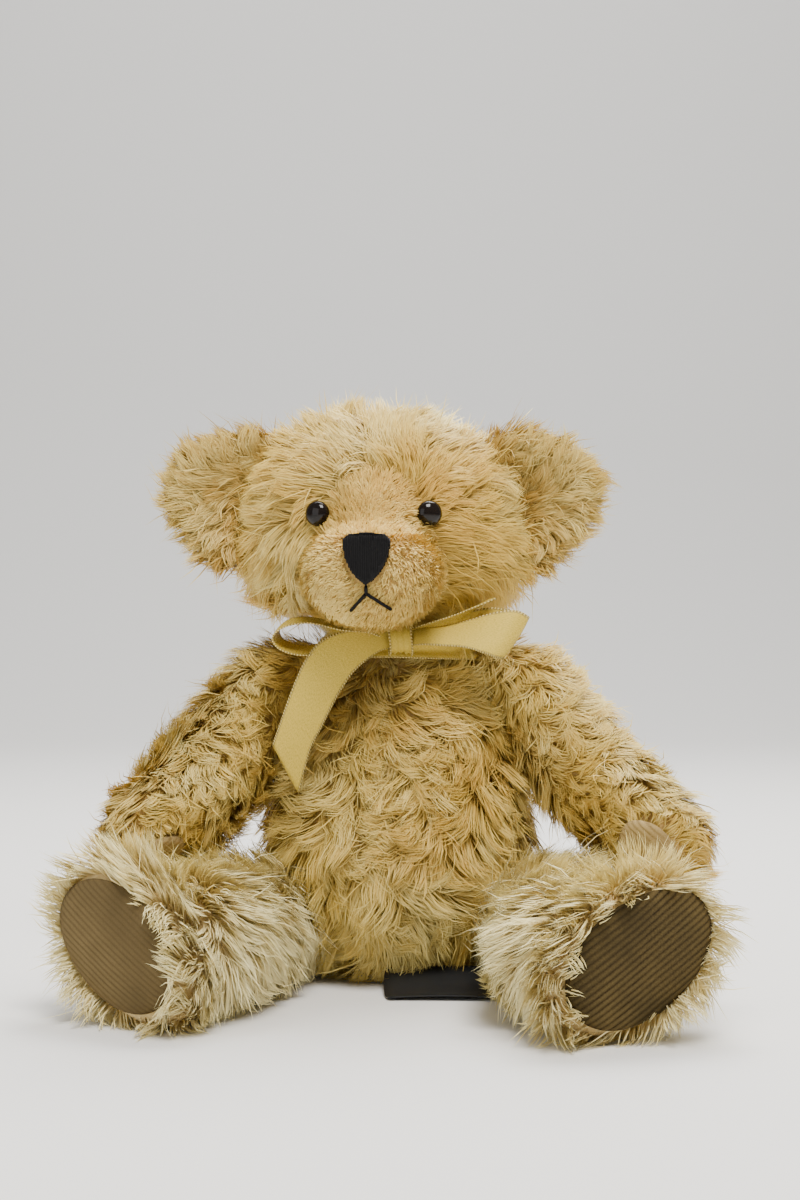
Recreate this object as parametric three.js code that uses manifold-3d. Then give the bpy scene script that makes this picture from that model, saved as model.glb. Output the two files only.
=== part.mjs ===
// A small teddy bear in long-pile mohair plush, sitting, 25 cm tall if it stood.
//
// Units are millimetres, +Z is up and the bear faces -Y. It sits on the plane Z = 0 and the origin is
// the middle of its flat seat. "left" and "right" are the bear's own, so its left side is +X.
//
// The bear is sewn, not jointed: head, arms and legs are plush covers stitched to the body cover, and
// the stuffing runs from one into the next through the open ends. Covers are shells as thick as the
// backing cloth with its pile pressed flat, and the stuffing is a solid inside each of them. The face
// has a short-pile muzzle panel, shank eyes held by washers, and an embroidered nose and mouth. The
// soles and paws are corduroy. A satin ribbon is tied round the neck, and a plain woven label is
// sewn into the seat.

import * as THREE from "three";
import { mergeVertices } from "three/addons/utils/BufferGeometryUtils.js";
import Module from "manifold-3d";

const wasm = await Module();
wasm.setup();

// ---------------------------------------------------------------- driving dimensions
const GAP = 0.3; // between two pieces that touch
const COVER = 2.4; // plush backing with its pile pressed flat
const HEAD_CENTRE = [-5, -8, 128];
const HEAD_HALF = [38, 34, 30]; // half width, depth and height
const HEAD_TURN = -4; // degrees about Z, towards the bear's right
const CHEEK = 0.07; // how much wider the head is at cheek height
const SEAT_RADIUS = 17;
const BODY_HEIGHT = 102;
const BODY_DEPTH = 0.9; // depth as a share of width
const ARM_RADIUS = 12.5;
const LEG_RADIUS = 18.5;
const FOOT_HALF = [25, 17, 16]; // half length heel to toe, half width, half depth
const SOLE_PAD = [20.5, 13.5]; // half length and half width of the corduroy sole
const PAW_PAD = [8.5, 6.5];
const EAR_HALF = [25, 16.5, 3.6]; // height, half length along its seam, half thickness
const EYE_RADIUS = 3.5;
const NOSE = { width: 12, height: 13, thick: 2.6 };
const THREAD = 0.55; // half thickness of an embroidery stitch
const RIBBON = { width: 15, thick: 0.7 };
const LABEL = { width: 33, thick: 0.6 };

// ---------------------------------------------------------------- colours
const paint = (color, roughness, metalness = 0) =>
  new THREE.MeshStandardMaterial({ color, roughness, metalness });
const MOHAIR = paint(0xd9bd87, 0.9);
const SHORT_PILE = paint(0xd8b877, 0.95);
const CORD = paint(0x8f7446, 0.95);
const STUFFING = paint(0xf2efe6, 1);
const BLACK_EYE = paint(0x070605, 0.08);
const WASHER = paint(0xe8e4da, 0.5);
const BLACK_THREAD = paint(0x0b0a0a, 0.6);
const SATIN = paint(0xd8c070, 0.35);
const LABEL_CLOTH = paint(0x101211, 0.6);

// ---------------------------------------------------------------- solids
const vector = (p) => new THREE.Vector3(...p);
const degrees = THREE.MathUtils.degToRad;

// A geometry with only positions, and one vertex at each place.
function welded(geometry) {
  const bare = geometry.index ? geometry.toNonIndexed() : geometry.clone();
  bare.deleteAttribute("normal");
  bare.deleteAttribute("uv");
  return mergeVertices(bare, 1e-4);
}

function toSolid(geometry) {
  const g = welded(geometry);
  return new wasm.Manifold(
    new wasm.Mesh({
      numProp: 3,
      vertProperties: new Float32Array(g.attributes.position.array),
      triVerts: new Uint32Array(g.index.array),
    }),
  );
}

function toGeometry(solid) {
  const mesh = solid.getMesh();
  const geometry = new THREE.BufferGeometry();
  const positions = new Float32Array(mesh.vertProperties);
  geometry.setAttribute("position", new THREE.BufferAttribute(positions, 3));
  geometry.setIndex(new THREE.BufferAttribute(new Uint32Array(mesh.triVerts), 1));
  geometry.computeVertexNormals();
  return geometry;
}

// The same surface, every point moved along its normal.
function offset(geometry, distance) {
  const g = welded(geometry);
  g.computeVertexNormals();
  const at = g.attributes.position;
  const normal = g.attributes.normal;
  for (let i = 0; i < at.count; i++) {
    at.setXYZ(
      i,
      at.getX(i) + normal.getX(i) * distance,
      at.getY(i) + normal.getY(i) * distance,
      at.getZ(i) + normal.getZ(i) * distance,
    );
  }
  return g;
}

// All that lies beyond a plane, as a big block with one face on it.
function beyond({ point, normal }, grow) {
  const size = 400;
  const block = new THREE.BoxGeometry(size, size, size).translate(0, 0, size / 2);
  const turn = new THREE.Quaternion().setFromUnitVectors(vector([0, 0, 1]), vector(normal).normalize());
  const place = vector(point).addScaledVector(vector(normal).normalize(), grow);
  block.applyQuaternion(turn).translate(...place.toArray());
  return toSolid(block);
}

// A form is a list of closed surfaces that are joined, and of flats that cut it off. Grown by a
// distance it is the same form a little larger or smaller all over, flats included.
function body({ surfaces, flats = [] }, grow = 0) {
  let made = toSolid(offset(surfaces[0], grow));
  for (const surface of surfaces.slice(1)) made = made.add(toSolid(offset(surface, grow)));
  for (const flat of flats) made = made.subtract(beyond(flat, grow));
  return made;
}

const FLOOR = { point: [0, 0, 0], normal: [0, 0, -1] };

// Only the largest body of a solid that a cut has left in several.
function largest(solid) {
  return solid.decompose().sort((a, b) => b.volume() - a.volume())[0];
}

// ---------------------------------------------------------------- surfaces
// A stuffed tube: a sphere's rings strung along a spine. radii are spread evenly from end to end, and
// a higher power makes the ends blunter.
function alongSpine(points, radii, { sides = 16, rings = 11, power = 3 } = {}) {
  const spine = new THREE.CatmullRomCurve3(points.map(vector));
  const last = radii.length - 1;
  const profile = new THREE.SplineCurve(radii.map((r, i) => new THREE.Vector2(i / last, r)));
  const tube = new THREE.SphereGeometry(1, sides, rings);
  const at = tube.attributes.position;
  for (let i = 0; i < at.count; i++) {
    const pole = THREE.MathUtils.clamp(at.getY(i), -1, 1);
    const t = (1 - pole) / 2;
    const dome = Math.pow(1 - Math.pow(Math.abs(pole), power), 1 / power);
    const angle = Math.atan2(at.getZ(i), at.getX(i));
    const forward = spine.getTangentAt(t);
    const side = new THREE.Vector3(0, 0, 1).cross(forward).normalize();
    const up = new THREE.Vector3().crossVectors(forward, side);
    const radius = profile.getPoint(t).y * dome;
    const place = spine.getPointAt(t);
    place.addScaledVector(side, radius * Math.cos(angle));
    place.addScaledVector(up, radius * Math.sin(angle));
    at.setXYZ(i, place.x, place.y, place.z);
  }
  return tube;
}

// An ellipsoid with its own axes: half sizes along each, and an optional warp of the unit sphere.
function egg(centre, half, { axes = null, sides = 18, rings = 11, warp = (v) => v } = {}) {
  const ball = new THREE.SphereGeometry(1, sides, rings).rotateX(Math.PI / 2);
  const at = ball.attributes.position;
  const point = new THREE.Vector3();
  for (let i = 0; i < at.count; i++) {
    warp(point.fromBufferAttribute(at, i)).multiply(vector(half));
    at.setXYZ(i, point.x, point.y, point.z);
  }
  if (axes) ball.applyMatrix4(new THREE.Matrix4().makeBasis(...axes));
  return ball.translate(...centre);
}

// A flat oval plug along an axis, used to cut a panel out of a cover.
function ovalPlug(centre, [long, across], halfLength, axes, grow = 0, sides = 18) {
  const plug = new THREE.CylinderGeometry(1, 1, 2 * halfLength, sides).rotateX(Math.PI / 2);
  plug.scale(long + grow, across + grow, 1);
  plug.applyMatrix4(new THREE.Matrix4().makeBasis(...axes)).translate(...centre);
  return toSolid(plug);
}

// A strip of ribbon or cloth through stations of [centre, direction of its width, width].
function strip(stations, thick, steps) {
  const middle = new THREE.CatmullRomCurve3(stations.map(([centre]) => vector(centre)));
  const edge = new THREE.CatmullRomCurve3(
    stations.map(([, across, width]) => vector(across).normalize().multiplyScalar(width / 2)),
  );
  const corners = [];
  for (let i = 0; i <= steps; i++) {
    const t = i / steps;
    const across = edge.getPoint(t);
    const face = new THREE.Vector3().crossVectors(middle.getTangent(t), across).setLength(thick / 2);
    const centre = middle.getPoint(t);
    for (const [a, f] of [[-1, -1], [1, -1], [1, 1], [-1, 1]]) {
      corners.push(...centre.clone().addScaledVector(across, a).addScaledVector(face, f).toArray());
    }
  }
  const faces = [0, 1, 2, 0, 2, 3];
  for (let i = 0; i < steps; i++) {
    for (let k = 0; k < 4; k++) {
      const [a, b] = [4 * i + k, 4 * i + ((k + 1) % 4)];
      faces.push(a, b + 4, b, a, a + 4, b + 4);
    }
  }
  const end = 4 * steps;
  faces.push(end, end + 2, end + 1, end, end + 3, end + 2);
  const made = new THREE.BufferGeometry();
  made.setAttribute("position", new THREE.Float32BufferAttribute(corners, 3));
  made.setIndex(faces);
  const solid = toSolid(made);
  if (solid.volume() > 0) return solid;
  for (let i = 0; i < faces.length; i += 3) [faces[i], faces[i + 1]] = [faces[i + 1], faces[i]];
  return toSolid(made.setIndex(faces));
}

// ---------------------------------------------------------------- body
const BELLY = { bulge: 3, sag: 3, lean: 4 }; // how far forward it is moved

// A pear, flat where it sits and narrow at the neck, with the belly a little forward.
function bodyForm() {
  const radiusAtHeight = [
    [0, -11], [11, -6.5], [SEAT_RADIUS, 0], [24, 6], [30, 15], [34.5, 28], [36, 42], [34, 57],
    [29.5, 71], [23.5, 83], [18, 92], [11, 99.5], [0, BODY_HEIGHT],
  ];
  const pear = new THREE.LatheGeometry(radiusAtHeight.map(([r, z]) => new THREE.Vector2(r, z)), 18);
  pear.rotateX(Math.PI / 2);
  const at = pear.attributes.position;
  for (let i = 0; i < at.count; i++) {
    const rise = THREE.MathUtils.clamp(at.getZ(i) / BODY_HEIGHT, 0, 1);
    const sag = BELLY.sag * Math.sin(Math.PI * Math.min(1, 2 * rise));
    const bulge = BELLY.bulge * Math.sin(Math.PI * rise);
    at.setY(i, at.getY(i) * BODY_DEPTH - bulge - sag - BELLY.lean * rise);
  }
  return { surfaces: [pear], flats: [FLOOR] };
}

// ---------------------------------------------------------------- head
// All that is on the head is placed in the head's own frame, whose origin is its centre.
const headFrame = new THREE.Matrix4()
  .makeRotationZ(degrees(HEAD_TURN))
  .setPosition(...HEAD_CENTRE);
const onHead = (geometry) => geometry.clone().applyMatrix4(headFrame);

// Wider at cheek height and flatter on top.
function skull() {
  const cheeks = (v) => {
    v.x *= 1 + CHEEK * Math.max(0, -v.z * 2) * (1 - v.z * v.z);
    return v;
  };
  return egg([0, 0, 0], HEAD_HALF, { sides: 18, rings: 11, warp: cheeks });
}

const MUZZLE_SEAM = 1; // how far the muzzle panel reaches past the muzzle, on to the head
const MUZZLE_BALL = { centre: [0, -35, -14], half: [20, 20, 15] };
const MUZZLE_BRIDGE = { centre: [0, -26, -2], half: [12.5, 13.5, 15] };
const muzzleSurfaces = () => [
  egg(MUZZLE_BALL.centre, MUZZLE_BALL.half, { sides: 16, rings: 8 }),
  egg(MUZZLE_BRIDGE.centre, MUZZLE_BRIDGE.half, { sides: 12, rings: 7 }),
];

const headForm = { surfaces: [skull(), ...muzzleSurfaces()].map(onHead) };
const muzzleForm = { surfaces: muzzleSurfaces().map(onHead) };
const bodyShape = bodyForm();

// ---------------------------------------------------------------- arms and legs
// side is +1 for the bear's left and -1 for its right. The left palm is turned further forward.
const ARMS = {
  1: { tip: [82, -47, 39], palm: [-0.4, -0.82, -0.4] },
  [-1]: { tip: [-78, -43, 38], palm: [0.5, -0.45, -0.74] },
};
const ARM_SWELL = [-3, 0, 1, 1.5, 1.5, 0]; // added to the arm's radius, from shoulder to tip
const HAND = { centre: [69, -42, 44], along: [0.62, -0.42, -0.6] }; // of the left arm
const PALM_DEPTH = 6; // half of how deep the cut for a palm reaches

function armForm(side) {
  const spine = [
    [side * 12, -3, 88], [side * 35, -6, 83], [side * 46.5, -15, 68], [side * 57, -27, 54],
    [side * 71, -40, 43.5], ARMS[side].tip,
  ];
  const radii = ARM_SWELL.map((swell) => ARM_RADIUS + swell);
  return { surfaces: [alongSpine(spine, radii, { sides: 12, rings: 9 })] };
}

// Where a leg points, which way its toes turn, and where its sole is.
const LEGS = {
  1: { splay: 17, toesOut: 54, sole: [57, -101, 20] },
  [-1]: { splay: 35, toesOut: 48, sole: [-71, -82, 20] },
};
const LEG_SWELL = [-6, -2, -1, -1]; // added to the leg's radius, from hip to heel
const HEEL = { below: 3, forward: 8 }; // where the leg meets the foot, from the foot's centre
const SOLE_DEPTH = 5; // half of how deep the cut for a sole reaches
const SOLE_RAISE = 1; // how far the sole's panel lies above the middle of the sole

function legAxes(side) {
  const { splay, toesOut } = LEGS[side];
  const [s, t] = [degrees(splay), degrees(toesOut)];
  const along = new THREE.Vector3(side * Math.sin(s), -Math.cos(s), 0);
  const outward = new THREE.Vector3(side * Math.cos(s), Math.sin(s), 0);
  const toes = outward.multiplyScalar(Math.sin(t)).add(new THREE.Vector3(0, 0, Math.cos(t)));
  return [toes, new THREE.Vector3().crossVectors(along, toes), along];
}

function legForm(side) {
  const [toes, across, along] = legAxes(side);
  const sole = vector(LEGS[side].sole);
  const footCentre = sole.clone().addScaledVector(along, -FOOT_HALF[2] / 2);
  const heel = footCentre.clone().addScaledVector(toes, -HEEL.below);
  heel.addScaledVector(along, HEEL.forward);
  const hip = [side * 17, -3, 18];
  const thigh = [side * 40, -22, LEG_RADIUS - 2];
  const tube = alongSpine(
    [hip, thigh, [heel.x * 0.8, heel.y * 0.8, LEG_RADIUS - 1], [heel.x, heel.y, LEG_RADIUS]],
    LEG_SWELL.map((swell) => LEG_RADIUS + swell),
    { sides: 14, rings: 9, power: 3.5 },
  );
  const foot = egg(footCentre.toArray(), FOOT_HALF, { axes: [toes, across, along], sides: 16, rings: 8 });
  return { surfaces: [tube, foot], flats: [FLOOR, { point: sole.toArray(), normal: along.toArray() }] };
}

// ---------------------------------------------------------------- ears
const EAR = { x: 31.5, y: -1, z: 5, tilt: 16.3, cup: 1.7, back: 0.6 };

// A cupped flap of two plush layers, sewn to the side of the head and open to the front.
function ear(side) {
  const tilt = degrees(EAR.tilt);
  const outward = new THREE.Vector3(side * Math.cos(tilt), 0, Math.sin(tilt));
  const front = new THREE.Vector3(0, -1, 0);
  const seam = new THREE.Vector3().crossVectors(front, outward);
  const cupped = (v) => {
    v.z += EAR.cup * (v.x * v.x + v.y * v.y) - EAR.back;
    return v;
  };
  const axes = [outward, seam, front];
  const centre = [side * EAR.x, EAR.y, EAR.z];
  return onHead(egg(centre, EAR_HALF, { axes, sides: 14, rings: 9, warp: cupped }));
}

// ---------------------------------------------------------------- eyes
// A glossy domed button on a shank that passes through the cover, held by a washer behind it.
const EYE_AT = { x: 15.2, y: -31.6, z: 2.4, turn: 24 };
const WASHER_HALF = { radius: 4.4, thick: 0.6 };
const WASHER_DEPTH = 5; // behind the eye's centre
const SHANK = { radius: 1.1, length: 9 };

// The eye looks along -Y of its own frame.
function eyeGeometry() {
  const dome = [
    [0, -2.4], [1.3, -2.2], [2.5, -1.5], [3.2, -0.5], [EYE_RADIUS, 0.6], [3.2, 1.4],
    [SHANK.radius, 1.6], [SHANK.radius, SHANK.length], [0, SHANK.length],
  ];
  return new THREE.LatheGeometry(dome.map(([r, y]) => new THREE.Vector2(r, y)), 16);
}

function washerGeometry() {
  const { radius, thick } = WASHER_HALF;
  const hole = SHANK.radius + GAP;
  const ring = [[hole, -thick], [radius, -thick], [radius, thick], [hole, thick], [hole, -thick]];
  return new THREE.LatheGeometry(ring.map(([r, y]) => new THREE.Vector2(r, y)), 16);
}

function eyeFrame(side) {
  const turn = new THREE.Matrix4().makeRotationZ(degrees(side * EYE_AT.turn));
  return headFrame.clone().multiply(turn.setPosition(side * EYE_AT.x, EYE_AT.y, EYE_AT.z));
}

// The pocket that an eye, its shank and its washer take up in the head.
function eyePocket(side) {
  const washer = { radius: WASHER_HALF.radius + GAP, thick: WASHER_HALF.thick + GAP };
  const block = new THREE.CylinderGeometry(washer.radius, washer.radius, 2 * washer.thick, 16);
  block.translate(0, WASHER_DEPTH, 0);
  const eye = offset(eyeGeometry(), GAP);
  return toSolid(eye.applyMatrix4(eyeFrame(side))).add(toSolid(block.applyMatrix4(eyeFrame(side))));
}

// ---------------------------------------------------------------- nose and mouth
// A shield of close stitches, worked over the front of the muzzle and curved back at its sides.
const NOSE_AT = [0, -53.2, -10.5];
const NOSE_BEND = { across: 0.03, up: 0.018 }; // how fast the nose curves back from its middle

function noseForm() {
  const [w, h] = [NOSE.width / 2, NOSE.height / 2];
  const shield = new THREE.Shape();
  shield.moveTo(-w + 1.5, h);
  shield.quadraticCurveTo(0, h + 0.8, w - 1.5, h);
  shield.quadraticCurveTo(w + 0.4, h - 0.6, w, h - 3);
  shield.bezierCurveTo(w - 0.6, -h * 0.3, w * 0.4, -h + 1.2, 0, -h);
  shield.bezierCurveTo(-w * 0.4, -h + 1.2, -w + 0.6, -h * 0.3, -w, h - 3);
  shield.quadraticCurveTo(-w - 0.4, h - 0.6, -w + 1.5, h);
  const shieldCut = { depth: NOSE.thick, bevelEnabled: false, curveSegments: 5 };
  const nose = new THREE.ExtrudeGeometry(shield, shieldCut);
  nose.rotateX(Math.PI / 2).translate(...NOSE_AT);
  const at = nose.attributes.position;
  for (let i = 0; i < at.count; i++) {
    const [x, z] = [at.getX(i), at.getZ(i) - NOSE_AT[2]];
    const back = NOSE_BEND.across * x * x + NOSE_BEND.up * Math.max(0, z + 1) ** 2;
    at.setY(i, at.getY(i) + back);
  }
  return onHead(nose);
}

// One straight stitch lying on the muzzle between two points of its face, as [x, z].
function stitch([x0, z0], [x1, z1]) {
  const { centre, half } = MUZZLE_BALL;
  const onMuzzle = (x, z) => {
    const inside = 1 - ((x - centre[0]) / half[0]) ** 2 - ((z - centre[2]) / half[2]) ** 2;
    return centre[1] - half[1] * Math.sqrt(inside) - THREAD - GAP;
  };
  const points = [0, 0.33, 0.67, 1].map((t) => {
    const [x, z] = [x0 + t * (x1 - x0), z0 + t * (z1 - z0)];
    return [x, onMuzzle(x, z) + (t === 0 || t === 1 ? 0 : -0.1), z];
  });
  return onHead(alongSpine(points, [THREAD, THREAD, THREAD], { sides: 8, rings: 6, power: 6 }));
}

const MOUTH = {
  mouth_stitch_centre: [[0, -17.6], [0, -19.2]],
  mouth_stitch_left: [[0.9, -19.6], [6.6, -23.2]],
  mouth_stitch_right: [[-0.9, -19.6], [-4.6, -23.6]],
};

// ---------------------------------------------------------------- ribbon
// One length of satin ribbon, wound once round the neck and tied in a bow under the chin.
const NECK = { centre: [0, -6.5, 95], rx: 21.5, ry: 20, height: 8.5 };
const KNOT = { centre: [2, -31, 95], half: [6, 4.6, 5.4] };

function neckRing(grow = 0) {
  const { centre, rx, ry, height } = NECK;
  const t = RIBBON.thick;
  const [inner, outer, z] = [-t - grow, t + grow, height / 2 + grow];
  const section = [[inner, -z], [outer, -z], [outer, z], [inner, z], [inner, -z]];
  const ring = new THREE.LatheGeometry(section.map(([r, y]) => new THREE.Vector2(rx + r, y)), 22);
  return toSolid(ring.rotateX(Math.PI / 2).scale(1, ry / rx, 1).translate(...centre));
}

function ribbonForm() {
  const w = RIBBON.width;
  const bearRightTail = [
    [[-1, -32, 95.5], [0.1, 0, 1], 8], [[-8, -36.5, 96], [0.1, -0.1, 1], 11],
    [[-16, -39, 93.5], [0.55, -0.1, 0.8], 14], [[-21.5, -39.5, 86], [0.85, -0.15, 0.45], w],
    [[-25, -39, 76], [0.9, -0.35, 0.25], w], [[-28.5, -38, 66], [0.85, -0.45, 0.25], w],
    [[-29.5, -37.5, 56], [0.75, -0.5, 0.35], w - 3],
  ];
  const bearRightLoop = [
    [[-2, -31, 96.5], [0, 0.5, 0.9], 6], [[-12, -33.5, 101], [0, 1, 0.25], 12],
    [[-24, -34, 102], [0.15, 1, 0.1], w - 1], [[-33, -34.5, 97.5], [0.25, 1, 0.1], w - 1],
    [[-25, -34, 92], [0.15, 1, -0.1], w - 2], [[-12, -32.5, 92.5], [0, 1, -0.2], 11],
    [[-2, -30.5, 94], [0, 0.5, 0.9], 6],
  ];
  const bearLeftLoop = [
    [[5, -32, 95.5], [0, -0.2, 1], 6], [[14, -36, 96], [0.25, -0.3, 1], 10.5],
    [[24, -38, 97.5], [0.5, -0.1, 0.85], w], [[30.5, -35.5, 99], [0.6, 0, 0.8], w],
    [[26, -32, 100.5], [0.5, 0.1, 0.85], w - 1], [[15, -29.5, 99], [0.2, 0.2, 1], 11],
    [[5, -29.5, 96.5], [0, 0, 1], 6],
  ];
  const bearLeftTail = [
    [[5, -31, 97], [0, 0, 1], 6], [[13, -33, 100], [0, 0.7, 0.7], 9],
    [[22, -33.5, 103.5], [0.1, 0.9, 0.4], 11],
  ];
  let ribbon = neckRing().add(toSolid(egg(KNOT.centre, KNOT.half, { sides: 10, rings: 6 })));
  for (const tail of [bearRightTail, bearLeftTail]) {
    ribbon = ribbon.add(strip(tail, RIBBON.thick, 2 * tail.length - 2));
  }
  for (const loop of [bearRightLoop, bearLeftLoop]) ribbon = ribbon.add(strip(loop, RIBBON.thick, 18));
  return ribbon;
}

// ---------------------------------------------------------------- label
function labelForm() {
  const wide = [1, 0, 0];
  const drop = [[-26, 5.2], [-32, 3.2], [-38, 1.4], [-43, 0.8]];
  return strip(drop.map(([y, z]) => [[12.5, y, z], wide, LABEL.width]), LABEL.thick, 6);
}

// ---------------------------------------------------------------- assembly
const bear = new THREE.Group();

function place(name, solid, material) {
  const mesh = new THREE.Mesh(toGeometry(solid), material);
  mesh.name = name;
  bear.add(mesh);
}

const SIDES = { left: 1, right: -1 };
const arms = { left: armForm(1), right: armForm(-1) };
const legs = { left: legForm(1), right: legForm(-1) };
const ribbon = ribbonForm();
const ribbonRoom = neckRing(GAP).add(toSolid(egg(KNOT.centre, KNOT.half.map((h) => h + GAP))));
const eyePockets = eyePocket(1).add(eyePocket(-1));
const inside = -COVER;
const packed = inside - GAP;

// Body: the seat is the flat face at the origin. The cover is open at the neck, arms and legs.
const bodyHollow = body(bodyShape, inside);
const openEnds = [headForm, ...Object.values(arms), ...Object.values(legs)];
let bodyCover = body(bodyShape).subtract(bodyHollow).subtract(neckRing(GAP));
for (const form of openEnds) bodyCover = bodyCover.subtract(body(form, inside));
const label = labelForm().subtract(body(bodyShape, GAP)).subtract(body(legs.left, GAP));
place("body_cover", largest(bodyCover), MOHAIR);
place("body_stuffing", body(bodyShape, packed), STUFFING);
place("seat_label", largest(label), LABEL_CLOTH);

// Head: one shell, cut along the muzzle seam into the long-pile cover and the short-pile panel.
const bodyRoom = body(bodyShape, GAP);
const headShell = body(headForm)
  .subtract(body(headForm, inside))
  .subtract(bodyRoom)
  .subtract(ribbonRoom)
  .subtract(eyePockets);
const nose = toSolid(noseForm());
const noseRoom = toSolid(offset(noseForm(), GAP));
place("head_cover", largest(headShell.subtract(body(muzzleForm, MUZZLE_SEAM + GAP))), MOHAIR);
const muzzlePanel = headShell.intersect(body(muzzleForm, MUZZLE_SEAM)).subtract(noseRoom);
place("muzzle_panel", largest(muzzlePanel), SHORT_PILE);
const headStuffing = body(headForm, packed).subtract(body(bodyShape, packed + GAP)).subtract(eyePockets);
place("head_stuffing", largest(headStuffing.subtract(bodyCover.add(neckRing(GAP)))), STUFFING);
place("nose_embroidery", nose, BLACK_THREAD);
for (const [name, [from, to]] of Object.entries(MOUTH)) {
  place(name, toSolid(stitch(from, to)), BLACK_THREAD);
}

for (const [name, side] of Object.entries(SIDES)) {
  const headRoom = body(headForm, GAP);
  place(`ear_${name}`, largest(toSolid(ear(side)).subtract(headRoom)), MOHAIR);
  place(`eye_${name}`, toSolid(eyeGeometry().applyMatrix4(eyeFrame(side))), BLACK_EYE);
  const washer = washerGeometry().translate(0, WASHER_DEPTH, 0).applyMatrix4(eyeFrame(side));
  place(`eye_washer_${name}`, toSolid(washer), WASHER);
}

// Arms: open at the shoulder, with a corduroy pad let into the palm.
for (const [name, side] of Object.entries(SIDES)) {
  const [arm, leg] = [arms[name], legs[name]];
  const palm = vector(ARMS[side].palm).normalize();
  const [ax, ...ayz] = HAND.along;
  const along = new THREE.Vector3(side * ax, ...ayz).projectOnPlane(palm).normalize();
  const axes = [along, new THREE.Vector3().crossVectors(palm, along), palm];
  const [hx, ...hyz] = HAND.centre;
  const hand = new THREE.Vector3(side * hx, ...hyz).addScaledVector(palm, ARM_RADIUS - 2).toArray();
  const pad = ovalPlug(hand, PAW_PAD, PALM_DEPTH, axes);
  const padRoom = ovalPlug(hand, PAW_PAD, PALM_DEPTH, axes, GAP);
  const shell = body(arm)
    .subtract(body(arm, inside))
    .subtract(bodyRoom)
    .subtract(body(leg, GAP))
    .subtract(body(headForm, GAP));
  place(`arm_cover_${name}`, largest(shell.subtract(padRoom)), MOHAIR);
  place(`paw_pad_${name}`, largest(shell.intersect(pad)), CORD);
  const stuffing = body(arm, packed).subtract(body(bodyShape, packed + GAP)).subtract(bodyCover);
  place(`arm_stuffing_${name}`, largest(stuffing.subtract(body(leg, GAP))), STUFFING);
}

// Legs: open at the hip, with a corduroy sole sewn into the flat end of the foot.
for (const [name, side] of Object.entries(SIDES)) {
  const leg = legs[name];
  const axes = legAxes(side);
  const sole = vector(LEGS[side].sole);
  const centre = sole.addScaledVector(axes[0], SOLE_RAISE).toArray();
  const pad = ovalPlug(centre, SOLE_PAD, SOLE_DEPTH, axes);
  const padRoom = ovalPlug(centre, SOLE_PAD, SOLE_DEPTH, axes, GAP);
  const shell = body(leg).subtract(body(leg, inside)).subtract(bodyRoom);
  place(`leg_cover_${name}`, largest(shell.subtract(padRoom)), MOHAIR);
  place(`foot_pad_${name}`, largest(shell.intersect(pad)), CORD);
  const stuffing = body(leg, packed).subtract(body(bodyShape, packed + GAP)).subtract(bodyCover);
  place(`leg_stuffing_${name}`, largest(stuffing), STUFFING);
}

let ribbonLaid = ribbon.subtract(bodyRoom).subtract(body(headForm, GAP));
for (const arm of Object.values(arms)) ribbonLaid = ribbonLaid.subtract(body(arm, GAP));
place("neck_ribbon", largest(ribbonLaid), SATIN);

export default bear;
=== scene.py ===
# A small sewn teddy bear in golden long-pile mohair, sitting with its arms and legs out. It has
# corduroy soles and paws, glossy button eyes, an embroidered nose and mouth, and a satin neck bow.
# Units are metres, +Z is up, the bear faces -Y, and "left" is the bear's own left, which is +X.

import math

import bpy
import numpy as np
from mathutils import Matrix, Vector
from mathutils.bvhtree import BVHTree
from mathutils.kdtree import KDTree


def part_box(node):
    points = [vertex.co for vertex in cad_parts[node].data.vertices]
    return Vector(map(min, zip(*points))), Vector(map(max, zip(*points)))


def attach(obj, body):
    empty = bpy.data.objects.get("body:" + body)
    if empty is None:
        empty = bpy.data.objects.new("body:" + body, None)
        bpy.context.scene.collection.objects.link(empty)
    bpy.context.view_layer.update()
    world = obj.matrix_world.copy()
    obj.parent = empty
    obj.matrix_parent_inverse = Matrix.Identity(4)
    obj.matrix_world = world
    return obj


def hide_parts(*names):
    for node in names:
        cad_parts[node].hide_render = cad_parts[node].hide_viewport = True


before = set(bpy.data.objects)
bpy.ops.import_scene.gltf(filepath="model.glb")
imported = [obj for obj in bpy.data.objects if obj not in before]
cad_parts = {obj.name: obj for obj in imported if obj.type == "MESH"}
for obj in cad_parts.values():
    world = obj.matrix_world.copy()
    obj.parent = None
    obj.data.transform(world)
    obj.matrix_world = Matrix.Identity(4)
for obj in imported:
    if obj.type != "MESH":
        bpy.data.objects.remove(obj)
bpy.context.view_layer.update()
MM = 0.001


# ---------------------------------------------------------------- table, light and camera
# The bear sits on plain pale paper that sweeps up behind it, in soft light from above. The camera
# looks level at it from the front, a little over half a metre away.
class Wire:
    """A shader socket that adds its Math nodes when it is used in an expression."""

    def __init__(self, finish, socket):
        self.finish = finish
        self.socket = socket

    def maths(self, operation, a, b):
        return self.finish.node("Math", {0: a, 1: b}, operation=operation)

    def __add__(self, other):
        return self.maths("ADD", self, other)

    def __radd__(self, other):
        return self.maths("ADD", other, self)

    def __sub__(self, other):
        return self.maths("SUBTRACT", self, other)

    def __rsub__(self, other):
        return self.maths("SUBTRACT", other, self)

    def __mul__(self, other):
        return self.maths("MULTIPLY", self, other)

    def __rmul__(self, other):
        return self.maths("MULTIPLY", other, self)

    def __pow__(self, other):
        return self.maths("POWER", self, other)


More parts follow.
